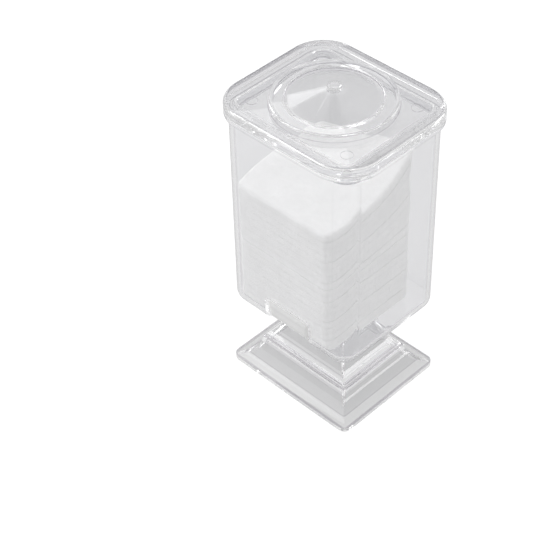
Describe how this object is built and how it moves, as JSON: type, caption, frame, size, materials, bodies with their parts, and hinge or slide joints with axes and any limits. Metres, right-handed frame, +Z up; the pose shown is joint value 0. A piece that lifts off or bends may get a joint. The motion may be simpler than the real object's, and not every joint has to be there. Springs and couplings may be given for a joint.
{
  "type": "cotton pad jar",
  "caption": "Clear rectangular jar on a stepped pedestal foot, with a lift-off lid, a low front finger slot and a stack of square cotton pads inside.",
  "frame": {"origin": "bottom centre of the foot, on the surface the jar stands on", "axes": "+Z up; the wall with the finger slot faces -Y; the long side of the jar runs along X"},
  "size_m": [0.085, 0.0742, 0.169],
  "materials": {
    "clear_plastic": "clear and glossy",
    "cotton": "soft and matte"
  },
  "bodies": {
    "jar": {"jar_body": "clear_plastic", "pedestal_foot": "clear_plastic", "cotton_pad_01": "cotton", "cotton_pad_02": "cotton", "cotton_pad_03": "cotton", "cotton_pad_04": "cotton", "cotton_pad_05": "cotton", "cotton_pad_06": "cotton", "cotton_pad_07": "cotton", "cotton_pad_08": "cotton", "cotton_pad_09": "cotton", "cotton_pad_10": "cotton", "cotton_pad_11": "cotton", "cotton_pad_12": "cotton", "cotton_pad_13": "cotton", "cotton_pad_14": "cotton", "cotton_pad_15": "cotton", "cotton_pad_16": "cotton", "cotton_pad_17": "cotton", "cotton_pad_18": "cotton"},
    "lid": {"lid": "clear_plastic"}
  },
  "joints": [
    {"name": "lid_lift", "type": "slide", "parent": "jar", "child": "lid", "axis": [0, 0, 1], "range_m": [0, 0.06]}
  ]
}
